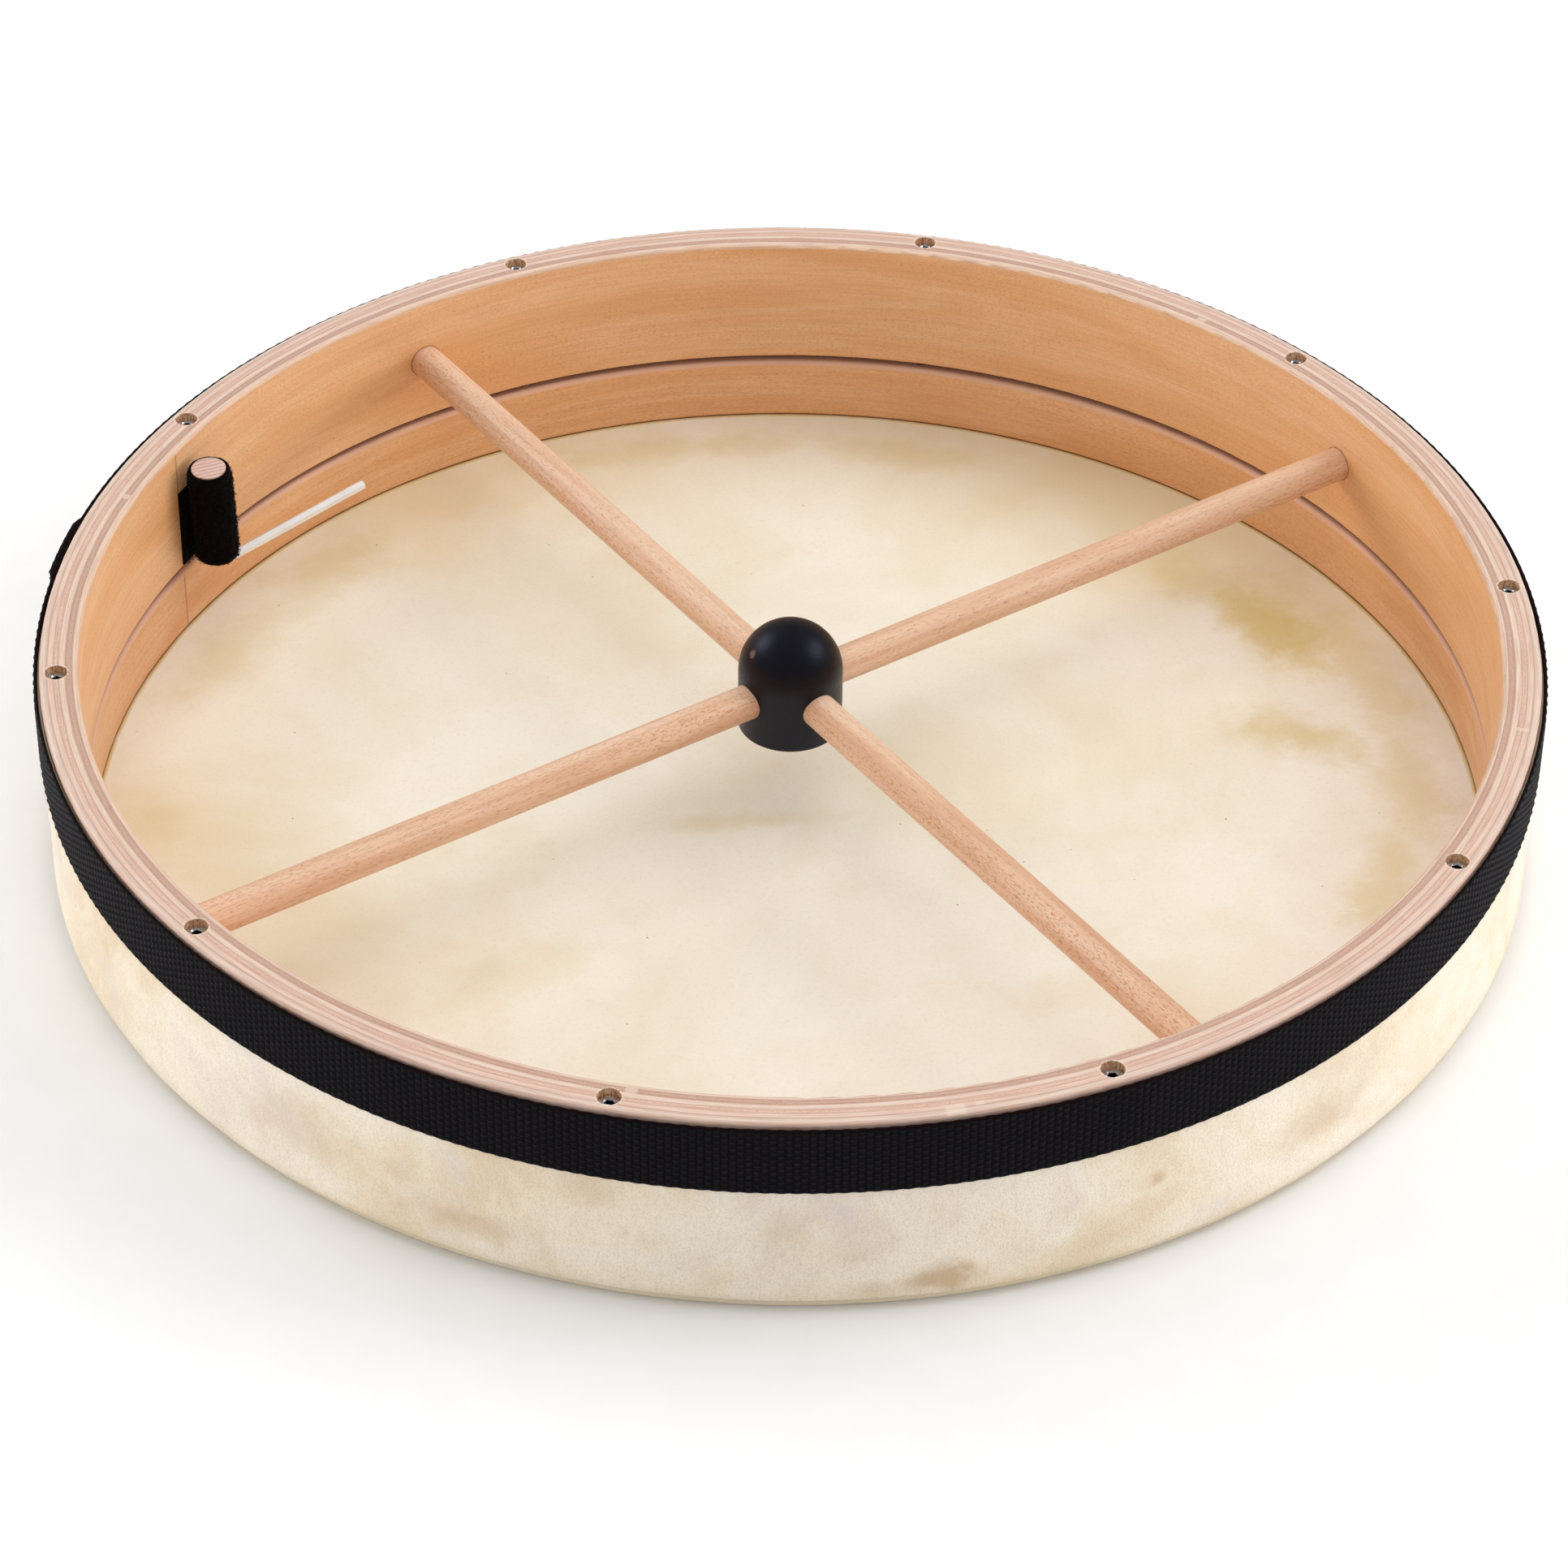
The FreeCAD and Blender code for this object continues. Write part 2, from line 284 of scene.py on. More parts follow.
def veneer_colour(g, arc, z, shift):
    """Steamed beech veneer: broad figure, fine streaks and short dark flecks."""
    along = g.join(g.math("ADD", arc, shift), z, shift)
    figure = g.noise(g.stretch(along, 5.0, 34.0, 1.0), 1.0, 4.0, 0.55, 0.7)
    streaks = g.noise(g.stretch(along, 45.0, 900.0, 1.0), 1.0, 3.0, 0.6, 0.2)
    flecks = g.noise(g.stretch(along, 720.0, 4200.0, 1.0), 1.0, 1.0, 0.5)
    patches = g.noise(g.stretch(along, 12.0, 60.0, 1.0), 1.0, 2.0)
    colour = g.ramp(figure, [
        (0.28, srgb(230, 166, 110)),
        (0.46, srgb(239, 182, 128)),
        (0.56, srgb(244, 194, 146)),
        (0.72, srgb(233, 170, 114)),
    ])
    colour = g.mix(g.fit(streaks, 0.35, 0.75, 0.0, 0.30), colour, srgb(208, 142, 94))
    dark = g.math("MULTIPLY", g.fit(flecks, 0.50, 0.68), g.fit(patches, 0.3, 0.65, 0.55, 0.9))
    colour = g.mix(g.scaled(dark, 0.50), colour, srgb(188, 112, 58))
    pale = g.fit(flecks, 0.42, 0.28)
    colour = g.mix(g.scaled(pale, 0.25), colour, srgb(236, 186, 144))
    return colour, flecks, streaks


def ply_material(name, shift):
    """Bent beech ply: veneer on the wall, stacked plies on every cut edge."""
    g = Graph(name)
    x, y, z = g.split(g.position())
    radius = g.vector_math("LENGTH", g.join(x, y, 0.0))
    tx, ty, _ = g.split(g.position(180.0 - WALL_JOINT_A))
    turn = g.math("ARCTAN2", ty, tx)
    arc = g.scaled(turn, INNER_R)

    wall, flecks, streaks = veneer_colour(g, arc, z, shift)
    joint = g.fit(g.math("ABSOLUTE", turn), math.pi - 0.0028, math.pi - 0.0009)
    wall = g.mix(g.scaled(joint, 0.5), wall, srgb(130, 80, 52))

    # cut edges: plies by radius, slightly wandering, with grain along them
    wander = g.noise(g.join(g.scaled(arc, 14.0), g.scaled(radius, 90.0), shift), 1.0, 2.0)
    shifted = g.math("MULTIPLY_ADD", wander, 0.7 * MM, g.math("SUBTRACT", radius, 0.35 * MM))
    low, high = (v * MM for v in PLY_SPAN)
    across = g.node("ShaderNodeMapRange")
    for socket, value in zip(across.inputs, (shifted, low, high, 0.0, 1.0)):
        g.put(socket, value)
    width = PLY_SPAN[1] - PLY_SPAN[0]
    stops = [((r - PLY_SPAN[0]) / width, srgb(*c)) for r, c in PLIES]
    plies = g.ramp(across.outputs[0], stops)
    grain_at = g.join(g.scaled(arc, 70.0), g.scaled(radius, 5200.0), g.scaled(z, 900.0))
    grain = g.noise(grain_at, 1.0, 3.0, 0.6)
    plies = g.mix(g.fit(grain, 0.40, 0.70, 0.0, 0.52), plies, srgb(182, 128, 102))
    pores = g.noise(g.join(g.scaled(arc, 900.0), g.scaled(radius, 4200.0), z), 1.0, 1.0)
    cross_ply = g.math("MAXIMUM", g.band(radius, 237.1 * MM, 239.2 * MM, 0.2 * MM),
                       g.band(radius, 241.5 * MM, 243.0 * MM, 0.2 * MM))
    dots = g.math("MULTIPLY", g.fit(pores, 0.55, 0.68), cross_ply)
    plies = g.mix(g.scaled(dots, 0.40), plies, srgb(150, 100, 80))

    # pale filler where a ply's ends meet
    for azimuth, r0, r1, half in ((258.9, 237.0, 239.4, 0.55), (281.8, 243.4, 247.6, 0.9),
                                  (283.6, 243.6, 245.2, 0.4), (163.0, 237.0, 239.4, 0.4),
                                  (347.4, 241.2, 245.0, 0.25), (52.0, 237.0, 239.3, 0.5)):
        spot = polar(1.0, azimuth, 0.0)
        facing = g.math("ADD", g.scaled(x, spot.x), g.scaled(y, spot.y))
        side = g.math("SUBTRACT", g.scaled(y, spot.x), g.scaled(x, spot.y))
        reach = half * math.radians(1.0) * SCREW_R
        near = g.fit(g.math("ABSOLUTE", side), reach * 0.6, reach, 1.0, 0.0)
        near = g.math("MULTIPLY", near, g.math("GREATER_THAN", facing, 0.0))
        near = g.math("MULTIPLY", near, g.band(radius, r0 * MM, r1 * MM, 0.15 * MM))
        plies = g.mix(g.scaled(near, 0.5), plies, srgb(244, 224, 204))

    # torn fibres down the counterbores, and their chipped pale rims
    away = screw_distance(g, x, y)
    ragged = g.noise(g.stretch(g.position(), 1500.0, 1500.0, 500.0), 1.0, 2.0, 0.6)
    in_bore = g.fit(away, 4.3 * MM, 3.95 * MM)
    below = g.fit(z, RIM_Z - 0.15 * MM, RIM_Z - 0.5 * MM)
    torn = g.ramp(ragged, [
        (0.33, srgb(188, 132, 90)),
        (0.5, srgb(230, 184, 142)),
        (0.66, srgb(252, 226, 196)),
    ])
    plies = g.mix(g.math("MULTIPLY", in_bore, below), plies, torn)
    rim_chips = g.math("MULTIPLY", g.fit(away, 4.7 * MM, 3.9 * MM), g.fit(ragged, 0.46, 0.58))
    plies = g.mix(g.math("MULTIPLY", rim_chips, g.fit(z, RIM_Z - 0.3 * MM, RIM_Z - 0.1 * MM)),
                  plies, srgb(248, 228, 206))

    on_wall = g.fit(shifted, 236.4 * MM, 235.5 * MM)
    on_wall = g.math("MULTIPLY", on_wall, g.fit(z, RIM_Z - 0.9 * MM, RIM_Z - 2.2 * MM))
    colour = g.mix(on_wall, plies, wall)
    off_ring_top = g.math("ABSOLUTE", g.math("SUBTRACT", z, RING_HIGH.z - 0.6 * MM))
    sanded = g.fit(off_ring_top, 1.2 * MM, 0.6 * MM)
    sanded = g.math("MULTIPLY", sanded, g.fit(radius, 238.5 * MM, 237.0 * MM))
    colour = g.mix(g.scaled(sanded, 0.8), colour, srgb(230, 184, 158))

    relief = g.math("ADD", g.scaled(flecks, 0.5), g.scaled(streaks, 0.5))
    relief = g.mix(on_wall, grain, relief)
    normal = g.bump(relief, 0.06 * MM, 0.55)
    rough = g.fit(streaks, 0.3, 0.7, 0.38, 0.52)
    return g.finish(colour, rough, normal, Coat_Weight=0.18, Coat_Roughness=0.32)


def dowel_material(name, azimuth, tilt_up=False):
    """Beech dowel with its grain along azimuth, or along Z."""
    g = Graph(name)
    place = g.position(0.0 if tilt_up else -azimuth)
    x, y, z = g.split(place)
    if tilt_up:
        x, z = z, x
    place = g.join(x, y, z)
    seed = azimuth * 0.01
    place = g.vector_math("ADD", place, (seed, seed, 0.0))
    figure = g.noise(g.stretch(place, 9.0, 170.0, 170.0), 1.0, 3.0, 0.5, 0.4)
    rings = g.noise(g.stretch(place, 16.0, 900.0, 900.0), 1.0, 2.0, 0.5)
    dashes = g.noise(g.stretch(place, 420.0, 2600.0, 2600.0), 1.0, 1.0, 0.5)
    lenses = g.noise(g.stretch(place, 640.0, 2100.0, 2100.0), 1.0, 1.0, 0.4)
    rays = g.noise(g.stretch(place, 3.0, 70.0, 70.0), 1.0, 1.0)
    colour = g.ramp(figure, [
        (0.30, srgb(220, 174, 140)),
        (0.48, srgb(232, 192, 160)),
        (0.62, srgb(238, 202, 174)),
        (0.75, srgb(224, 180, 146)),
    ])
    colour = g.mix(g.fit(rings, 0.46, 0.70, 0.0, 0.30), colour, srgb(206, 152, 120))
    colour = g.mix(g.scaled(g.fit(dashes, 0.57, 0.69), 0.46), colour, srgb(174, 116, 80))
    lens = g.math("MULTIPLY", g.fit(lenses, 0.58, 0.66), g.fit(rays, 0.46, 0.58))
    colour = g.mix(g.scaled(lens, 0.62), colour, srgb(196, 128, 72))
    relief = g.math("ADD", dashes, g.scaled(rings, 0.6))
    normal = g.bump(relief, 0.05 * MM, 0.5)
    rough = g.fit(figure, 0.3, 0.7, 0.44, 0.56)
    return g.finish(colour, rough, normal, Coat_Weight=0.08, Coat_Roughness=0.4)


def end_grain_material(name):
    """The key's grip: pink beech with a few fine grain lines across its end."""
    g = Graph(name)
    place = g.position(-20.0)
    lines = g.node("ShaderNodeTexWave", wave_type="BANDS", bands_direction="Y")
    g.put(lines.inputs["Vector"], place)
    lines.inputs["Scale"].default_value = 170.0
    lines.inputs["Distortion"].default_value = 1.2
    lines.inputs["Detail"].default_value = 2.0
    lines.inputs["Detail Scale"].default_value = 1.5
    pores = g.noise(g.stretch(place, 2600.0, 2600.0, 400.0), 1.0, 1.0)
    line = g.fit(lines.outputs["Fac"], 0.68, 0.98, 0.0, 0.55)
    colour = g.mix(line, srgb(228, 192, 178), srgb(160, 116, 104))
    colour = g.mix(g.fit(pores, 0.56, 0.70, 0.0, 0.5), colour, srgb(176, 128, 110))
    normal = g.bump(pores, 0.08 * MM, 0.6)
    return g.finish(colour, 0.55, normal)


# Stains on the skin: centre x, y, z and half sizes in mm, heading in degrees, strength.
STAINS = [
    (173, 103, 0, 52, 20, 22, -58, 0.85),
    (152, 132, 0, 40, 20, 22, -25, 0.50),
    (200, 84, 0, 60, 16, 22, -68, 0.45),
    (178, 40, 0, 40, 14, 22, -25, 0.65),
    (212, 20, 0, 56, 16, 22, -85, 0.45),
    (200, -40, 0, 40, 16, 22, 75, 0.50),
    (-168, 134, 0, 36, 18, 22, 30, 0.45),
    (-196, 84, 0, 50, 16, 22, 60, 0.40),
    (-212, -12, 0, 20, 12, 22, 80, 0.25),
    (-40, 212, 0, 56, 12, 22, 8, 0.45),
    (42, 209, 0, 48, 12, 22, -12, 0.40),
    (-14, -10, 0, 44, 6, 22, 6, 0.32),
    (-92, -96, 0, 50, 16, 22, 30, 0.22),
    (92, -168, 0, 44, 12, 22, 30, 0.20),
]


def blots(g, place, ragged, spots):
    """Strongest of several soft blots with ragged edges."""
    total = 0.0
    for x, y, z, long, wide, tall, heading, strength in spots:
        spot = g.node("ShaderNodeMapping", vector_type="TEXTURE")
        g.put(spot.inputs["Vector"], place)
        spot.inputs["Location"].default_value = (x * MM, y * MM, z * MM)
        spot.inputs["Rotation"].default_value = (0.0, 0.0, math.radians(heading))
        spot.inputs["Scale"].default_value = (long * MM, wide * MM, tall * MM)
        away = g.vector_math("LENGTH", spot.outputs[0])
        away = g.math("MULTIPLY_ADD", ragged, 2.2, g.math("SUBTRACT", away, 1.10))
        mask = g.fit(away, 1.15, 0.05, 0.0, strength)
        total = g.math("MAXIMUM", total, mask)
    return total


def skin_material():
    """Goatskin: ivory clouds, yellow stains and specks inside, mottled and pebbled outside."""
    g = Graph("goatskin_natural")
    place = g.position()
    x, y, z = g.split(place)
    radius = g.vector_math("LENGTH", g.join(x, y, 0.0))
    clouds = g.noise(place, 8.0, 5.0, 0.55, 0.4)
    mottle = g.noise(place, 26.0, 5.0, 0.6, 0.3)
    ragged = g.noise(place, 46.0, 8.0, 0.72, 0.2)
    fine = g.noise(place, 900.0, 2.0, 0.6)
    hairs = g.noise(g.stretch(place, 520.0, 800.0, 600.0), 1.0, 3.0, 0.6, 0.6)

    inside = g.ramp(clouds, [
        (0.30, srgb(236, 222, 194)),
        (0.46, srgb(244, 237, 219)),
        (0.58, srgb(247, 242, 229)),
        (0.75, srgb(241, 234, 217)),
    ])
    inside = g.mix(g.fit(mottle, 0.45, 0.75, 0.0, 0.35), inside, srgb(234, 222, 192))
    towards_top = g.math("SUBTRACT", y, g.scaled(x, 0.35))
    yellowing = g.math("MULTIPLY", g.fit(radius, 0.06, 0.236), g.fit(towards_top, -0.10, 0.13))
    yellowing = g.math("MULTIPLY", yellowing, g.fit(clouds, 0.62, 0.34, 0.35, 1.0))
    inside = g.mix(g.scaled(yellowing, 0.46), inside, srgb(224, 206, 156))
    inside = g.mix(blots(g, place, ragged, STAINS), inside, srgb(216, 194, 126))
    edge_line = g.band(radius, INNER_R - 1.3 * MM, INNER_R + 1.0 * MM, 0.4 * MM)
    edge_line = g.math("MULTIPLY", edge_line, g.fit(ragged, 0.3, 0.6, 0.35, 0.85))
    inside = g.mix(edge_line, inside, srgb(226, 200, 136))
    specks = g.fit(g.cells(place, 85.0), 0.038, 0.022)
    specks = g.math("MULTIPLY", specks, g.fit(mottle, 0.42, 0.52))
    inside = g.mix(g.scaled(specks, 0.75), inside, srgb(132, 106, 68))
    inside = g.mix(g.fit(hairs, 0.60, 0.74, 0.0, 0.08), inside, srgb(206, 186, 148))
    inside = g.mix(g.fit(fine, 0.5, 0.75, 0.0, 0.18), inside, srgb(214, 196, 162))

    outside = g.ramp(g.noise(place, 15.0, 5.0, 0.6, 0.5), [
        (0.30, srgb(232, 208, 174)),
        (0.44, srgb(246, 230, 204)),
        (0.55, srgb(251, 240, 222)),
        (0.70, srgb(242, 227, 212)),
    ])
    outside = g.mix(g.fit(mottle, 0.48, 0.72, 0.0, 0.40), outside, srgb(220, 194, 154))
    brown = [
        (47, -243, 11, 16, 12, 7, 11, 0.72),
        (55, -242, 14, 5, 6, 4, 13, 0.60),
        (26, -246, 9, 13, 9, 5, 6, 0.35),
        (113, -221, 32, 4, 5, 4, 27, 0.50),
        (-60, -241, 44, 14, 10, 9, 170, 0.30),
        (-150, -198, 30, 26, 14, 16, 142, 0.30),
        (-100, -228, 18, 30, 12, 9, 156, 0.40),
        (165, -185, 26, 24, 14, 12, 42, 0.35),
        (0, 248, 30, 40, 14, 16, 0, 0.35),
        (-215, 124, 24, 30, 14, 14, 120, 0.35),
        (210, 132, 26, 26, 14, 14, 58, 0.35),
    ]
    outside = g.mix(blots(g, place, ragged, brown), outside, srgb(196, 158, 110))
    grain = g.cells(place, 1500.0)
    turn = g.math("ARCTAN2", y, x)
    strokes_at = g.join(g.scaled(turn, 340.0), g.scaled(radius, 30.0), g.scaled(z, 240.0))
    strokes = g.noise(strokes_at, 1.0, 3.0, 0.6)
    outside = g.mix(g.fit(grain, 0.42, 0.80, 0.0, 0.19), outside, srgb(186, 162, 134))
    outside = g.mix(g.fit(strokes, 0.50, 0.72, 0.0, 0.18), outside, srgb(206, 180, 146))
    greying = g.fit(g.noise(place, 19.0, 4.0, 0.6), 0.55, 0.70, 0.0, 0.45)
    outside = g.mix(greying, outside, srgb(222, 208, 206))
    # painted shade: a dark line along the skin's crease near the skirt's foot
    crease = g.noise(g.join(x, y, 0.0), 40.0, 3.0)
    crease_shade_z = g.math("MULTIPLY_ADD", crease, 0.8 * MM, 3.7 * MM)
    off = g.math("ABSOLUTE", g.math("SUBTRACT", z, crease_shade_z))
    # browner towards the foot of the skirt
    browner_near_foot = g.fit(z, 9.0 * MM, 3.5 * MM, 0.0, 0.34)
    outside = g.mix(browner_near_foot, outside, srgb(206, 184, 138))
    outside = g.mix(g.fit(off, 0.95 * MM, 0.25 * MM, 0.0, 0.88), outside, srgb(108, 90, 60))
    under_edge = g.fit(z, 3.6 * MM, 3.0 * MM, 0.0, 0.5)
    outside = g.mix(under_edge, outside, srgb(222, 208, 178))

    up_wall = g.fit(radius, RING_R - 0.002, RING_R + 0.0004)
    colour = g.mix(up_wall, inside, outside)
    pebbles = g.math("ADD", g.scaled(grain, -0.9), g.scaled(fine, 0.35))
    relief = g.mix(up_wall, g.math("ADD", g.scaled(hairs, 0.35), g.scaled(fine, 0.3)), pebbles)
    normal = g.bump(relief, 0.16 * MM, 0.6)
    normal = g.bump(mottle, 0.9 * MM, 0.25, normal)
    rough = g.fit(clouds, 0.3, 0.7, 0.46, 0.60)
    return g.finish(colour, rough, normal, Specular_IOR_Level=0.38)


def webbing_material():
    """Black ribbed webbing: a grey-violet painted highlight on the rib crests, painted shade in the gaps
    between them, and a faint sheen.
    """
    g = Graph("black_webbing")
    x, y, z = g.split(g.position())
    radius = g.vector_math("LENGTH", g.join(x, y, 0.0))
    azimuth = g.math("ARCTAN2", y, x)
    arc = g.scaled(azimuth, BAND_R)
    rib = g.math("ABSOLUTE", g.math("COSINE", g.scaled(azimuth, WEAVE_PAIRS)))
    filaments = g.noise(g.join(g.scaled(arc, 900.0), g.scaled(z, 7500.0), radius), 1.0, 2.0, 0.6)
    uneven = g.noise(g.join(g.scaled(arc, 60.0), g.scaled(z, 120.0), 0.0), 1.0, 2.0)
    crest = g.fit(radius, BAND_R - 0.57 * MM, BAND_R - 0.06 * MM)
    # painted highlight on the rib crests, painted shade in the grooves between them
    lit = g.math("MULTIPLY", g.fit(rib, 0.20, 0.80), g.fit(crest, 0.0, 0.6, 0.35, 1.0))
    colour = g.mix(lit, srgb(1, 1, 1), srgb(21, 18, 24))
    colour = g.mix(g.fit(filaments, 0.40, 0.70, 0.0, 0.55), colour, srgb(4, 3, 5))
    colour = g.mix(g.fit(uneven, 0.40, 0.70, 0.0, 0.4), colour, srgb(7, 6, 8))
    selvedge = g.fit(z, BAND_HIGH.z - 1.1 * MM, BAND_HIGH.z - 0.2 * MM, 0.0, 0.6)
    colour = g.mix(selvedge, colour, srgb(26, 10, 10))
    normal = g.bump(filaments, 0.07 * MM, 0.7)
    rough = g.fit(filaments, 0.3, 0.7, 0.42, 0.6)
    return g.finish(colour, rough, normal, Specular_IOR_Level=0.06,
                    Sheen_Weight=0.02, Sheen_Roughness=0.3, Sheen_Tint=srgb(214, 190, 206))


def hub_material():
    """Black satin lacquer over turned wood, browner low down and at its foot."""
    g = Graph("black_lacquer")
    place = g.position()
    x, y, z = g.split(place)
    radius = g.vector_math("LENGTH", g.join(x, y, 0.0))
    turned = g.noise(g.join(g.scaled(radius, 300.0), 0.0, g.scaled(z, 900.0)), 1.0, 3.0)
    speck = g.noise(place, 1300.0, 3.0, 0.65)
    grain = g.noise(g.stretch(place, 900.0, 900.0, 90.0), 1.0, 3.0, 0.6)
    colour = g.mix(g.fit(speck, 0.60, 0.80, 0.0, 0.6), srgb(5, 4, 5), srgb(34, 22, 18))
    # browner in streaks low on the hub, and at its foot
    low = g.fit(z, HUB_HIGH.z - 18.0 * MM, HUB_HIGH.z - 26.0 * MM)
    browner_low = g.math("MULTIPLY", g.fit(grain, 0.50, 0.72), low)
    colour = g.mix(g.scaled(browner_low, 0.5), colour, srgb(30, 22, 17))
    foot = g.fit(z, HUB_LOW.z + 1.4 * MM, HUB_LOW.z + 0.2 * MM, 0.0, 0.7)
    colour = g.mix(g.math("MULTIPLY", foot, g.fit(speck, 0.4, 0.6)), colour, srgb(96, 64, 46))
    scuff = g.node("ShaderNodeMapping", vector_type="TEXTURE")
    g.put(scuff.inputs["Vector"], place)
    scuff.inputs["Location"].default_value = (-12.6 * MM, -6.0 * MM, HUB_HIGH.z - 7.1 * MM)
    scuff.inputs["Scale"].default_value = (2.2 * MM, 2.2 * MM, 2.2 * MM)
    mark = g.fit(g.math("MULTIPLY_ADD", speck, 1.4, g.vector_math("LENGTH", scuff.outputs[0])), 1.5, 1.1)
    colour = g.mix(g.scaled(mark, 0.8), colour, srgb(120, 90, 78))
    height = g.math("ADD", g.scaled(turned, 0.4), g.scaled(grain, 0.6))
    normal = g.bump(height, 0.05 * MM, 0.5)
    rough = g.fit(speck, 0.3, 0.7, 0.36, 0.50)
    return g.finish(colour, rough, normal, Specular_IOR_Level=0.40, Specular_Tint=srgb(205, 212, 255),
                    Coat_Weight=0.10, Coat_Roughness=0.3)


def key_steel_material():
    """Hex bar steel: its near-white colour is a painted reflection of the overhead light, a little uneven
    along its length.
    """
    g = Graph("key_steel_painted_reflection")
    cloudy = g.noise(g.position(), 90.0, 2.0)
    # near-white base colour: painted reflection on the steel bar
    colour = g.mix(g.fit(cloudy, 0.3, 0.7), srgb(252, 250, 247), srgb(240, 238, 236))
    return g.finish(colour, g.fit(cloudy, 0.3, 0.7, 0.26, 0.34), None, Metallic=0.25)


def metal_material(name, colour, tarnish, roughness, socket_shade_below=None):
    """Plated metal with fine scratches; under the height given last, the hex socket gets a dark blue-grey
    painted shade.
    """
    g = Graph(name)
    place = g.position()
    _, _, z = g.split(place)
    scratches = g.noise(g.stretch(place, 900.0, 300.0, 900.0), 1.0, 2.0, 0.6)
    spots = g.noise(place, 220.0, 2.0, 0.5)
    tone = g.mix(g.fit(spots, 0.45, 0.75, 0.0, 0.6), colour, tarnish)
    if socket_shade_below is not None:
        # painted shade in the hex socket below the head's top
        tone = g.mix(g.fit(z, socket_shade_below - 0.25 * MM, socket_shade_below - 0.8 * MM), tone, srgb(34, 40, 56))
    normal = g.bump(spots, 0.02 * MM, 0.2)
    rough = g.fit(scratches, 0.3, 0.7, roughness, roughness + 0.14)
    return g.finish(tone, rough, normal, Metallic=1.0)


def pile_material(name, tint):
    """Black nylon pile or hooks, matt with a faint sheen."""
    g = Graph(name)
    clumps = g.noise(g.position(), 700.0, 3.0, 0.6)
    colour = g.mix(g.fit(clumps, 0.35, 0.70), srgb(2, 1, 1), tint)
    normal = g.bump(clumps, 0.25 * MM, 0.7)
    return g.finish(colour, 0.85, normal, Specular_IOR_Level=0.08,
                    Sheen_Weight=0.02, Sheen_Roughness=0.5)


def fibre_material():
    """Splinters of beech torn up by the drill, streaked darker and paler along their length."""
    g = Graph("torn_beech")
    fibres = g.noise(g.stretch(g.position(), 1300.0, 1300.0, 260.0), 1.0, 2.0, 0.6)
    colour = g.ramp(fibres, [
        (0.3, srgb(176, 120, 78)),
        (0.5, srgb(226, 178, 132)),
        (0.7, srgb(250, 222, 186)),
    ])
    return g.finish(colour, 0.75, g.bump(fibres, 0.1 * MM, 0.6))


def glue_and_gap_shade_material():
    g = Graph("glue_and_gap_shade_line")
    uneven = g.noise(g.position(), 600.0, 2.0)
    # dark brown: glue, with painted shade of the gap round the rod
    colour = g.mix(g.fit(uneven, 0.35, 0.7), srgb(104, 58, 34), srgb(160, 104, 70))
    return g.finish(colour, 0.6, g.bump(uneven, 0.1 * MM, 0.5))


def floor_material():
    g = Graph("pale_floor")
    speck = g.noise(g.position(), 60.0, 3.0)
    colour = g.mix(g.fit(speck, 0.3, 0.7), srgb(252, 252, 252), srgb(254, 254, 254))
    return g.finish(colour, 0.9, None, Specular_IOR_Level=0.1)


# ---------------- mesh helpers

def add_object(name, points, faces, material, smooth=True):
    mesh = bpy.data.meshes.new(name)
    mesh.from_pydata([tuple(p) for p in np.asarray(points)], [], [tuple(f) for f in faces])
    shape = bmesh.new()
    shape.from_mesh(mesh)
    bmesh.ops.recalc_face_normals(shape, faces=shape.faces)
    shape.to_mesh(mesh)
    shape.free()
    mesh.polygons.foreach_set("use_smooth", [smooth] * len(mesh.polygons))
    mesh.materials.append(material)
    mesh.update()
    made = bpy.data.objects.new(name, mesh)
    bpy.context.scene.collection.objects.link(made)
    return made


def grid_faces(rows, columns, wrap_rows=False, wrap_columns=False):
    """Quads of a grid of points that are numbered row by row."""
    i = np.arange(rows if wrap_rows else rows - 1)
    j = np.arange(columns if wrap_columns else columns - 1)
    i, j = np.meshgrid(i, j, indexing="ij")
    i2 = (i + 1) % rows
    j2 = (j + 1) % columns
    quads = np.stack([i * columns + j, i2 * columns + j, i2 * columns + j2, i * columns + j2], -1)
    return quads.reshape(-1, 4)


def rounded(corners, steps=5):
    """Points of an outline whose corners (r, z, radius) are rounded by arcs."""
    out = [Vector(corners[0][:2])]
    for before, here, after in zip(corners, corners[1:], corners[2:]):
        middle = Vector(here[:2])
        u = (Vector(before[:2]) - middle).normalized()
        w = (Vector(after[:2]) - middle).normalized()
        half = u.angle(w) / 2.0
        if len(here) < 3 or math.degrees(half) > 89.0:
            out.append(middle)
            continue
        radius = here[2]
        centre = middle + (u + w).normalized() * (radius / math.sin(half))
        start = middle + u * (radius / math.tan(half)) - centre
        end = middle + w * (radius / math.tan(half)) - centre
        for k in range(steps + 1):
            share = k / steps
            spoke = start.lerp(end, share)
            out.append(centre + spoke.normalized() * radius)
    out.append(Vector(corners[-1][:2]))
    return out


def subdivided(points, longest):
    """The same outline with no step longer than longest."""
    out = [points[0]]
    for a, b in zip(points, points[1:]):
        count = max(1, math.ceil((b - a).length / longest))
        out += [a.lerp(b, (k + 1) / count) for k in range(count)]
    return out


# ---------------- pieces

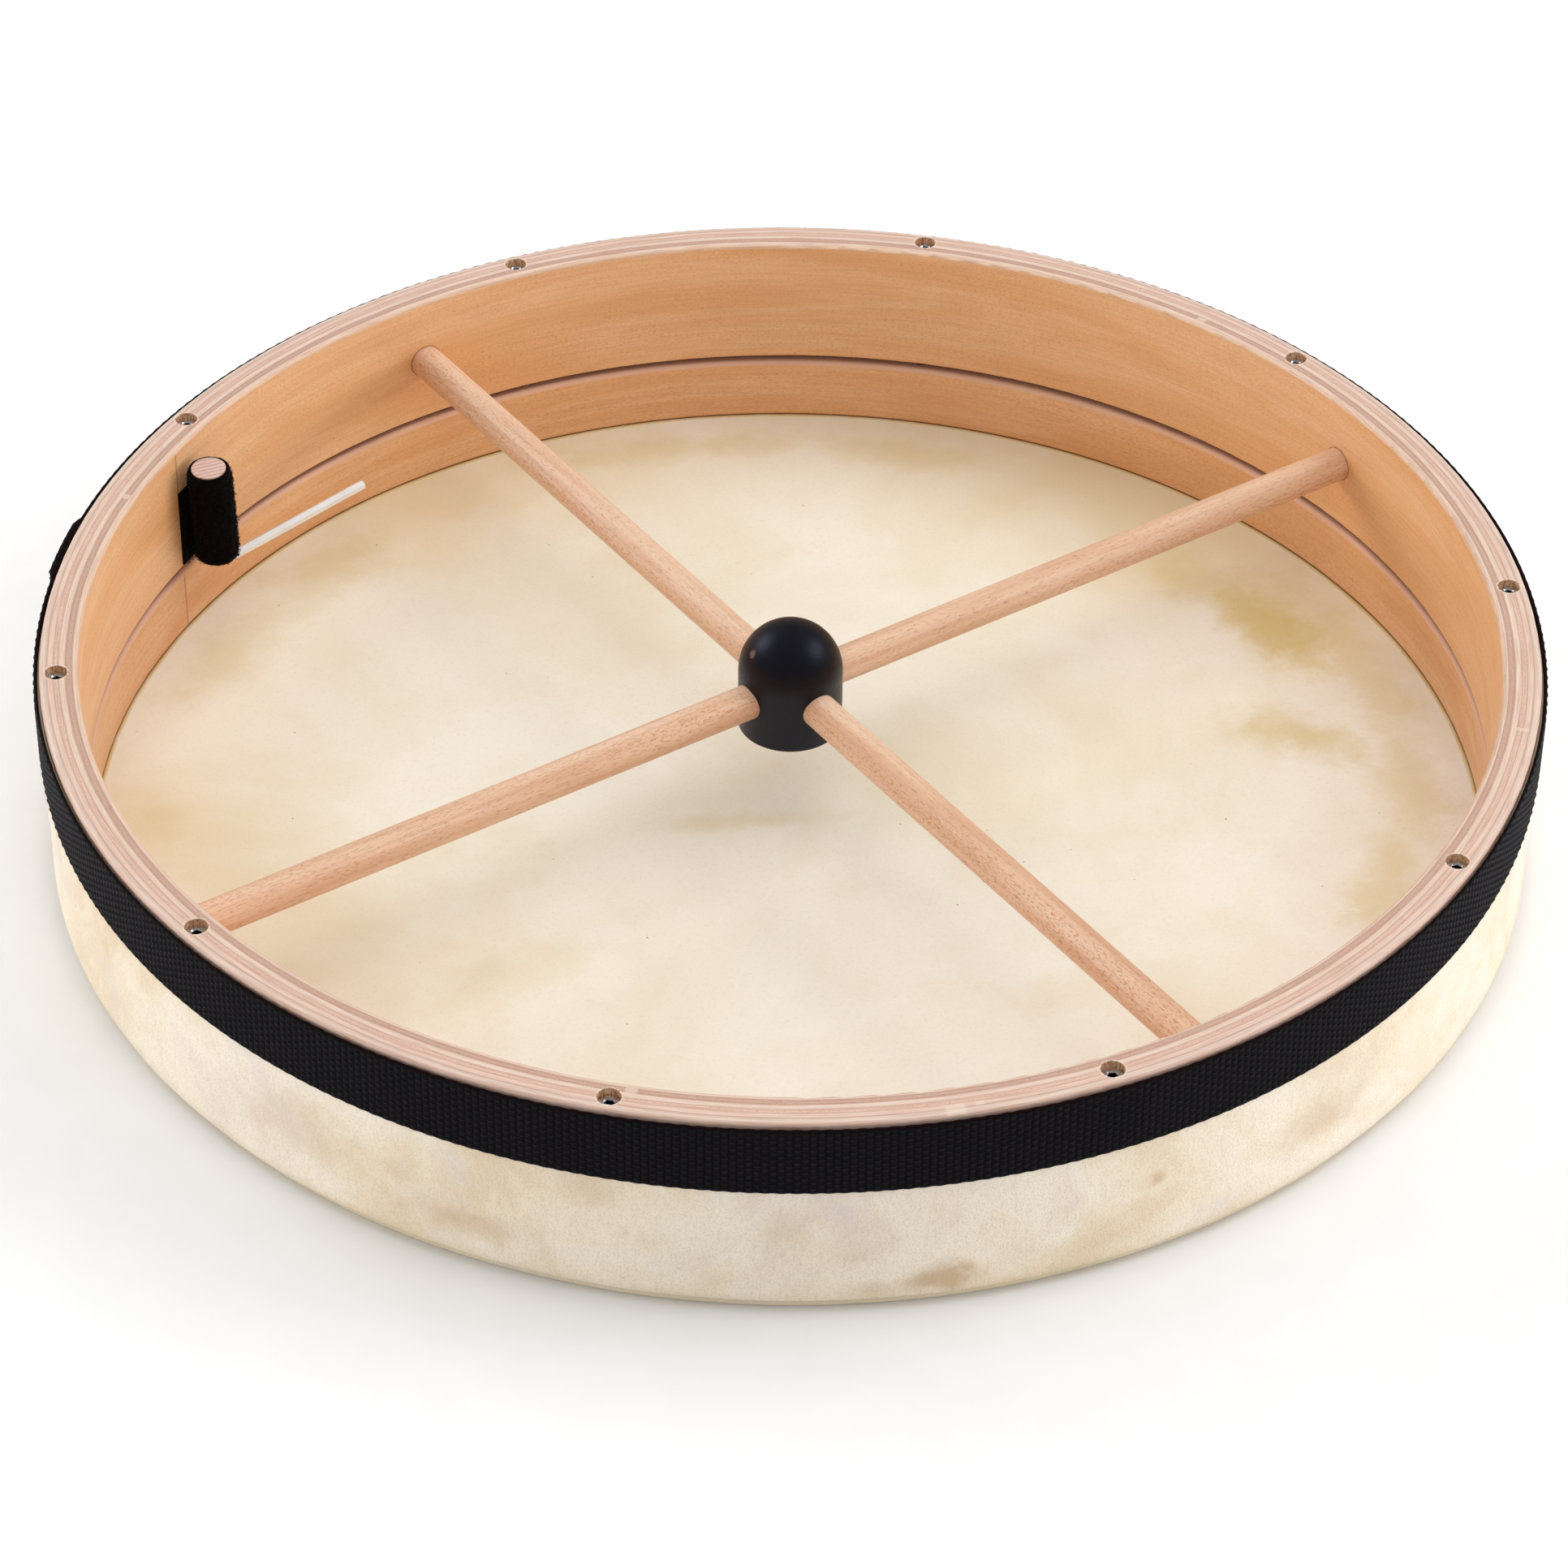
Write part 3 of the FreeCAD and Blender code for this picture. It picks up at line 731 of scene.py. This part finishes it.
def make_goatskin():
    """One skin: flat head, rounded bearing edge, and a skirt up the outside."""
    lip = RING_R + 0.3 * MM
    foot = SHELL_LOW.z - 0.1 * MM
    top = SKIRT_HIGH.z
    roll = SKIRT_R - 1.7 * MM
    outer = rounded([
        (0.4 * MM, 0.0),
        (roll, 0.0, 3.0 * MM),
        (roll, foot - 1.1 * MM, 0.3 * MM),
        (roll - 0.4 * MM, foot - 0.6 * MM, 0.25 * MM),
        (SKIRT_R, foot + 0.3 * MM, 0.9 * MM),
        (SKIRT_R, top, 0.3 * MM),
        (SKIRT_R - SKIN_T, top),
    ])
    inner = rounded([
        (SKIRT_R - SKIN_T, top),
        (SKIRT_R - SKIN_T, foot, 0.6 * MM),
        (lip, foot - 0.3 * MM, 0.4 * MM),
        (lip, SKIN_T, 2.8 * MM),
        (INNER_R - 0.05 * MM, SKIN_T),
        (INNER_R - 0.10 * MM, SKIN_T + 0.4 * MM),
        (INNER_R - 1.1 * MM, SKIN_T + 0.2 * MM),
        (INNER_R - 2.6 * MM, SKIN_T),
        (0.4 * MM, SKIN_T),
    ])
    profile = subdivided(outer, 3.0 * MM) + subdivided(inner, 3.0 * MM)[1:]
    segments = 900
    angles = np.arange(segments) * (2.0 * math.pi / segments)
    outline = np.array([tuple(p) for p in profile])
    radius, height = outline[:, 0], outline[:, 1]
    points = np.stack([
        np.outer(np.cos(angles), radius),
        np.outer(np.sin(angles), radius),
        np.tile(height, (segments, 1)),
    ], -1)

    # the skin's own unevenness: slack hollows and pulled creases on the skirt's outer face
    shown = BAND_LOW.z - 1.0 * MM
    for j, (r, z) in enumerate(outline):
        on_skirt = r > SKIRT_R - 0.2 * MM and z < shown
        on_edge = r > roll - 0.8 * MM and 0.5 * MM < z < foot
        on_flat = r < RING_R - 14.0 * MM and z > SKIN_T / 2.0
        if not (on_skirt or on_edge or on_flat):
            continue
        for i in range(segments):
            x, y, _ = points[i, j]
            if on_flat:
                points[i, j, 2] += 0.10 * MM * noise.noise(Vector((x * 22.0, y * 22.0, 3.0)))
                continue
            swell = noise.noise(Vector((x * 30.0, y * 30.0, z * 40.0)))
            pull = noise.noise(Vector((x * 160.0, y * 160.0, z * 14.0)))
            out = (0.28 * swell + 0.12 * pull + 0.12) * MM
            points[i, j, 0] += math.cos(angles[i]) * out
            points[i, j, 1] += math.sin(angles[i]) * out
    count = len(profile)
    quads = grid_faces(segments, count, wrap_rows=True)
    flat = points.reshape(-1, 3)
    caps = [[i * count for i in range(segments)], [i * count + count - 1 for i in range(segments)][::-1]]
    faces = [tuple(q) for q in quads] + [tuple(c) for c in caps]
    piece = add_object("goatskin_head", flat, faces, skin_material())
    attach(piece, "drum")
    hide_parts("head_skin", "head_skirt")
    return piece


def weave_strip(first, last, inner, outer, closed):
    """Points and faces of a woven strip between two columns."""
    low, high = BAND_LOW.z, BAND_HIGH.z
    columns = np.arange(first, last)
    turn = columns * (2.0 * math.pi / (PAIR_COLUMNS * WEAVE_PAIRS))
    beat = columns * (math.pi / 4.0)
    rows = []
    for row in range(WEAVE_ROWS):
        for part in range(4):
            rows.append((row, (part + 0.5) / 4.0))
    radii = []
    levels = []
    scallop = 0.11 * MM * np.cos(beat)
    edge_low = low + 0.15 * MM - scallop
    edge_high = high - 0.15 * MM + scallop
    radii += [np.full(len(columns), inner), np.full(len(columns), outer - RIB_RELIEF)]
    levels += [edge_low, edge_low]
    for row, across in rows:
        side = 1.0 if row % 2 else -1.0
        over = np.clip(0.5 + 0.62 * side * np.cos(beat), 0.0, 1.0)
        rib = np.abs(np.cos(beat)) ** 0.7
        crown = math.sin(math.pi * across)
        bulge = rib * (0.45 + 0.55 * over) * (0.35 + 0.65 * crown ** 0.7)
        radii.append(outer - RIB_RELIEF * (1.0 - bulge))
        share = (row + across) / WEAVE_ROWS
        levels.append(edge_low + (edge_high - edge_low) * (0.012 + 0.976 * share))
    radii += [np.full(len(columns), outer - RIB_RELIEF), np.full(len(columns), inner)]
    levels += [edge_high, edge_high]
    radii = np.stack(radii, 1)
    levels = np.stack(levels, 1)
    if not closed:
        ends = np.minimum(np.arange(len(columns)), np.arange(len(columns))[::-1])
        taper = np.clip(ends / 6.0, 0.0, 1.0) ** 0.5
        radii = inner + (radii - inner) * (0.15 + 0.85 * taper[:, None])
    points = np.stack([
        radii * np.cos(turn)[:, None],
        radii * np.sin(turn)[:, None],
        levels,
    ], -1)
    count = radii.shape[1]
    quads = grid_faces(len(columns), count, wrap_rows=closed, wrap_columns=True)
    faces = [tuple(q) for q in quads]
    if not closed:
        faces.append(tuple(range(count))[::-1])
        faces.append(tuple(range((len(columns) - 1) * count, len(columns) * count)))
    return points.reshape(-1, 3), faces


def make_webbing(material):
    """The band round the skin's trimmed edge, and its end lapped over its start."""
    points, faces = weave_strip(0, PAIR_COLUMNS * WEAVE_PAIRS, SKIRT_R, BAND_R, True)
    band = add_object("webbing_weave", points, faces, material)
    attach(band, "drum")
    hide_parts("webbing_band")
    per_degree = PAIR_COLUMNS * WEAVE_PAIRS / 360.0
    points, faces = weave_strip(round(LAP_FROM_A * per_degree), round(LAP_TO_A * per_degree),
                                BAND_R - LAP_SINK, BAND_R + LAP_RISE, False)
    lap = add_object("webbing_lap", points, faces, material)
    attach(lap, "drum")
    return band, lap


def node_axis(node):
    """Ends of a CAD node's longest axis, low end first."""
    points = np.array([v.co for v in NODES[node].data.vertices])
    centre = (points.max(0) + points.min(0)) / 2.0
    heading = np.linalg.svd(points - points.mean(0), full_matrices=False)[2][0]
    heading = heading * np.sign(heading[2])
    along = (points - centre) @ heading
    centre = Vector(centre)
    heading = Vector(heading)
    return centre + heading * along.min(), centre + heading * along.max()


def tube_faces(start, rings, sides):
    return [(start + a * sides + b, start + a * sides + (b + 1) % sides,
             start + (a + 1) * sides + (b + 1) % sides, start + (a + 1) * sides + b)
            for a in range(rings - 1) for b in range(sides)]


def add_fibre(points, faces, path, radius, sides=3):
    """A thin tube through the points of path, thinner at both ends."""
    start = len(points)
    last = len(path) - 1
    for k, p in enumerate(path):
        ahead = (path[min(k + 1, last)] - path[max(k - 1, 0)]).normalized()
        side = ahead.orthogonal().normalized()
        other = ahead.cross(side)
        thick = radius * (0.55 if k in (0, last) else 1.0)
        for s in range(sides):
            a = 2.0 * math.pi * s / sides
            points.append(p + (side * math.cos(a) + other * math.sin(a)) * thick)
    faces += tube_faces(start, len(path), sides)
    faces.append(tuple(range(start, start + sides))[::-1])
    faces.append(tuple(range(start + last * sides, start + (last + 1) * sides)))


def make_key_pile(material):
    """Loop pile round the key's grip: a lumpy sleeve with fibres standing out of it."""
    low, high = node_axis("key_sleeve")
    axis = (high - low).normalized()
    length = (high - low).length
    side = axis.orthogonal().normalized()
    other = axis.cross(side)
    segments = 72
    rows = 46

    def spoke(turn):
        return side * math.cos(turn) + other * math.sin(turn)

    points = []
    for i in range(rows):
        t = i / (rows - 1)
        for k in range(segments):
            turn = 2.0 * math.pi * k / segments
            lump = noise.noise(Vector((math.cos(turn) * 2.6, math.sin(turn) * 2.6, t * 11.0)))
            fuzz = noise.noise(Vector((math.cos(turn) * 11.0, math.sin(turn) * 11.0, t * 52.0)))
            shoulder = min(1.0, (1.0 - t) * 11.0 + 0.55) ** 0.5 * min(1.0, t * 14.0 + 0.5) ** 0.5
            radius = GRIP_R + (PILE_R - GRIP_R + (0.28 * lump + 0.22 * fuzz) * MM) * shoulder
            points.append(low + axis * (length * t) + spoke(turn) * radius)
    for end in (high, low):
        for k in range(segments):
            points.append(end + spoke(2.0 * math.pi * k / segments) * (GRIP_R + 0.02 * MM))
    faces = [tuple(q) for q in grid_faces(rows, segments, wrap_columns=True)]
    top = (rows - 1) * segments
    inner_top = rows * segments
    inner_low = inner_top + segments
    for k in range(segments):
        n = (k + 1) % segments
        faces.append((top + k, inner_top + k, inner_top + n, top + n))
        faces.append((k, n, inner_low + n, inner_low + k))
        faces.append((inner_top + k, inner_low + k, inner_low + n, inner_top + n))
    sleeve = add_object("key_pile_sleeve", points, faces, material)

    draw = random.Random(11)
    points = []
    faces = []
    for _ in range(PILE_LOOPS):
        t = draw.random()
        turn = draw.uniform(0.0, 2.0 * math.pi)
        out = spoke(turn)
        around = axis.cross(out)
        shoulder = min(1.0, (1.0 - t) * 11.0 + 0.55) ** 0.5
        base = low + axis * (length * (0.015 + 0.955 * t))
        base = base + out * (PILE_R - 0.25 * MM) * (0.86 + 0.14 * shoulder)
        lean = (axis * draw.uniform(-1.0, 0.5) + around * draw.uniform(-1.0, 1.0)).normalized()
        tall = draw.uniform(0.35, 1.05) * MM * (1.5 if draw.random() < 0.10 else 1.0)
        wide = draw.uniform(0.35, 0.80) * MM
        path = [base, base + out * tall * 0.7 + lean * wide * 0.15,
                base + out * tall + lean * wide * 0.6, base + out * tall * 0.55 + lean * wide * 1.15]
        add_fibre(points, faces, path, 0.085 * MM)
    loops = add_object("key_pile_loops", points, faces, material)
    for piece in (sleeve, loops):
        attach(piece, "key")
    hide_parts("key_sleeve")


def make_hook_tape(material):
    """Hook tape glued to the wall: a woven base with rows of small hooks."""
    points = np.array([v.co for v in NODES["hook_patch"].data.vertices])
    turns = np.degrees(np.arctan2(points[:, 1], points[:, 0]))
    a0, a1 = turns.min(), turns.max()
    z0, z1 = points[:, 2].min(), points[:, 2].max()
    face_r = np.hypot(points[:, 0], points[:, 1]).min()
    base_r = INNER_R - 0.9 * MM
    columns = 60
    rows = 72
    grid = []
    for i in range(columns + 1):
        azimuth = a0 + (a1 - a0) * i / columns
        for j in range(rows + 1):
            z = z0 + (z1 - z0) * j / rows
            weave = 0.09 * MM * math.sin(i * math.pi / 2.0) * math.sin(j * math.pi / 2.0)
            rim = min(i, j, columns - i, rows - j)
            lift = 0.35 * MM if rim == 0 else 0.0
            grid.append(polar(base_r + weave + lift, azimuth, z))
    front = len(grid)
    faces = [tuple(q)[::-1] for q in grid_faces(columns + 1, rows + 1)]
    border = ([i * (rows + 1) for i in range(columns + 1)]
              + [columns * (rows + 1) + j for j in range(1, rows + 1)]
              + [i * (rows + 1) + rows for i in range(columns - 1, -1, -1)]
              + [j for j in range(rows - 1, 0, -1)])
    for index in border:
        p = grid[index]
        out = Vector((p.x, p.y, 0.0)).normalized()
        grid.append(Vector((out.x * (INNER_R - 0.02 * MM), out.y * (INNER_R - 0.02 * MM), p.z)))
    count = len(border)
    for k in range(count):
        n = (k + 1) % count
        faces.append((border[k], border[n], front + n, front + k))
    faces.append(tuple(range(front + count - 1, front - 1, -1)))

    draw = random.Random(5)
    hooks = []
    hook_faces = []
    tall = base_r - face_r
    for i in range(HOOKS_ACROSS):
        for j in range(HOOKS_UP):
            azimuth = a0 + (a1 - a0) * (i + 0.5 + 0.25 * (j % 2)) / (HOOKS_ACROSS + 0.25)
            z = z0 + (z1 - z0) * (j + 0.5) / HOOKS_UP
            root = polar(base_r, azimuth, z)
            inward = -Vector((root.x, root.y, 0.0)).normalized()
            bend = Vector((0.0, 0.0, 1.0)) * (1.0 if i % 2 else -1.0)
            bend = (bend + inward.cross(bend) * draw.uniform(-0.2, 0.2)).normalized()
            path = [
                root - inward * 0.1 * MM,
                root + inward * tall * 0.62,
                root + inward * tall * 0.94 + bend * 0.16 * MM,
                root + inward * tall * 0.90 + bend * 0.42 * MM,
                root + inward * tall * 0.66 + bend * 0.50 * MM,
            ]
            add_fibre(hooks, hook_faces, path, 0.10 * MM, 4)
    base = add_object("hook_tape_base", grid, faces, material)
    crops = add_object("hook_tape_hooks", hooks, hook_faces, material)
    for piece in (base, crops):
        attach(piece, "drum")
    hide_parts("hook_patch")


def make_torn_fibres(material):
    """Splinters that the drill left round each counterbore, clear of the rising screw head."""
    draw = random.Random(23)
    for number, azimuth in enumerate(screw_angles()):
        centre = polar(SCREW_R, azimuth, 0.0)
        points = []
        faces = []
        for _ in range(FIBRES_PER_BORE):
            turn = draw.uniform(0.0, 2.0 * math.pi)
            out = Vector((math.cos(turn), math.sin(turn), 0.0))
            along = Vector((-out.y, out.x, 0.0)) * draw.uniform(-0.7, 0.7)
            top = RIM_Z - draw.uniform(0.0, 0.25) * MM
            drop = draw.uniform(0.6, 2.0) * MM
            root = centre + out * (COUNTERBORE_R + 0.05 * MM) + Vector((0.0, 0.0, top - drop))
            reach = draw.uniform(0.04, 0.22) * MM
            path = [root, root - out * reach * 0.5 + along * 0.3 * MM + Vector((0.0, 0.0, drop * 0.5)),
                    root - out * reach + along * 0.6 * MM + Vector((0.0, 0.0, drop * 0.92))]
            add_fibre(points, faces, path, draw.uniform(0.07, 0.16) * MM, 4)
        piece = add_object("torn_fibres_%02d" % (number + 1), points, faces, material, smooth=False)
        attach(piece, "drum")


def make_glue_and_shade_lines(material):
    """A thin dark line round each rod where it enters the wall: glue, and painted shade of the gap at the
    rod's seat.
    """
    for number in range(4):
        azimuth = ROD_A0 + 90.0 * number
        out = polar(1.0, azimuth, 0.0)
        side = Vector((-out.y, out.x, 0.0))
        up = Vector((0.0, 0.0, 1.0))
        segments = 72
        points = []
        for k in range(segments):
            turn = 2.0 * math.pi * k / segments
            spoke = side * math.cos(turn) + up * math.sin(turn)
            uneven = noise.noise(Vector((math.cos(turn) * 2.0, math.sin(turn) * 2.0, number * 3.0)))
            wide = (0.20 + 0.10 * uneven) * MM
            seat = ROD_R + 0.04 * MM
            off = seat * math.cos(turn)
            wall = math.sqrt(INNER_R ** 2 - off ** 2)
            for step in range(5):
                a = math.pi * step / 4.0
                point = spoke * (seat + wide * (1.0 - math.cos(a)) / 2.0)
                point = point + out * (wall - wide * 0.4 * math.sin(a)) + up * ROD_Z
                points.append(point)
        faces = [tuple(q) for q in grid_faces(segments, 5, wrap_rows=True, wrap_columns=True)]
        piece = add_object("rod_glue_and_shade_line_%d" % (number + 1), points, faces, material)
        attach(piece, "drum")


# ---------------- finishes of the CAD nodes

def dress(node, material):
    for place in NODES[node].material_slots:
        place.material = material


def dress_frame():
    ply = ply_material("beech_ply_drum", 0.0)
    ring_ply = ply_material("beech_ply_ring", 1.7)
    dress("outer_shell", ply)
    dress("fixed_hoop", ply)
    dress("tuning_ring", ring_ply)
    for number in range(4):
        azimuth = ROD_A0 + 90.0 * number
        dress("crossbar_rod_%d" % (number + 1), dowel_material("beech_rod_%d" % (number + 1), azimuth))
    dress("crossbar_hub", hub_material())
    head_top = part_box("tuning_screw_01")[1].z
    zinc = metal_material("plated_screw", srgb(226, 228, 232), srgb(168, 170, 176), 0.18, head_top)
    for number in range(SCREWS):
        dress("tuning_screw_%02d" % (number + 1), zinc)
    dress("key_arms", key_steel_material())
    dress("key_handle", end_grain_material("key_grip_beech"))
    steel = metal_material("pressed_steel", srgb(180, 180, 184), srgb(120, 116, 112), 0.3)
    dress("skin_staples", steel)
    dress("thrust_cups", steel)
    dress("threaded_inserts", metal_material("turned_brass", srgb(212, 176, 98), srgb(150, 112, 56), 0.25))


# ---------------- studio

def add_floor():
    """A wide disc just under the drum."""
    angles = np.linspace(0, 2 * math.pi, 96, endpoint=False)
    points = [(FLOOR_R * math.cos(a), FLOOR_R * math.sin(a), -0.2 * MM) for a in angles]
    floor = add_object("studio_floor", points, [tuple(range(96))], floor_material(), smooth=False)


def softbox(name, azimuth, elevation, distance, size, power, colour, mirrored=True):
    lamp = bpy.data.lights.new(name, "AREA")
    lamp.shape = "RECTANGLE"
    lamp.size, lamp.size_y = size
    lamp.energy = power
    lamp.color = colour
    lift = math.radians(elevation)
    place = polar(distance * math.cos(lift), azimuth, distance * math.sin(lift))
    light = bpy.data.objects.new(name, lamp)
    light.location = place
    light.rotation_euler = (Vector((0.0, 0.0, 0.04)) - place).to_track_quat("-Z", "Y").to_euler()
    light.visible_glossy = mirrored
    bpy.context.scene.collection.objects.link(light)


def add_lights():
    world = bpy.data.worlds.new("studio_air")
    world.use_nodes = True
    world.node_tree.nodes["Background"].inputs["Color"].default_value = (1.0, 1.0, 1.0, 1.0)
    world.node_tree.nodes["Background"].inputs["Strength"].default_value = 0.27
    bpy.context.scene.world = world
    softbox("overhead_scrim", 45.0, 74.0, 3.0, (3.4, 3.4), 50.0, (1.0, 1.0, 1.0), mirrored=False)
    softbox("front_fill", 262.0, 58.0, 3.0, (2.6, 2.6), 18.0, (1.0, 1.0, 1.0), mirrored=False)
    softbox("softbox_left", 150.0, 34.0, 2.6, (1.3, 1.1), 12.0, (0.97, 0.98, 1.0))
    softbox("softbox_right", 10.0, 40.0, 2.6, (1.4, 1.1), 12.0, (0.97, 0.98, 1.0))
    softbox("fill_left", 188.0, 7.0, 2.6, (1.4, 0.8), 28.0, (1.0, 1.0, 1.0), mirrored=False)
    softbox("fill_right", -8.0, 7.0, 2.6, (1.4, 0.8), 28.0, (1.0, 1.0, 1.0), mirrored=False)
    bpy.context.scene.view_settings.view_transform = "Standard"


def add_camera():
    """Camera above the near side of the rim, with a long lens."""
    elevation = math.radians(CAMERA_ELEVATION)
    back = Vector((0.0, -math.cos(elevation), math.sin(elevation)))
    turn = Matrix.Rotation(math.pi / 2.0 - elevation, 3, "X")
    turn = turn @ Matrix.Rotation(0.001, 3, "Y")
    turn = turn @ Matrix.Rotation(-0.0305, 3, "X")
    turn = turn @ Matrix.Rotation(math.radians(0.6169), 3, "Z")
    data = bpy.data.cameras.new("camera")
    data.sensor_width = 36.0
    data.lens = CAMERA_LENS
    data.clip_end = 50.0
    camera = bpy.data.objects.new("camera", data)
    place = back * CAMERA_DISTANCE + Vector((0.0, 0.0, RIM_Z))
    camera.matrix_world = Matrix.Translation(place) @ turn.to_4x4()
    bpy.context.scene.collection.objects.link(camera)
    bpy.context.scene.camera = camera


def main():
    add_camera()
    add_lights()
    add_floor()
    dress_frame()
    make_goatskin()
    make_webbing(webbing_material())
    pile = pile_material("black_pile", srgb(14, 9, 9))
    make_key_pile(pile)
    make_hook_tape(pile_material("black_hooks", srgb(12, 11, 12)))
    make_torn_fibres(fibre_material())
    make_glue_and_shade_lines(glue_and_gap_shade_material())


main()
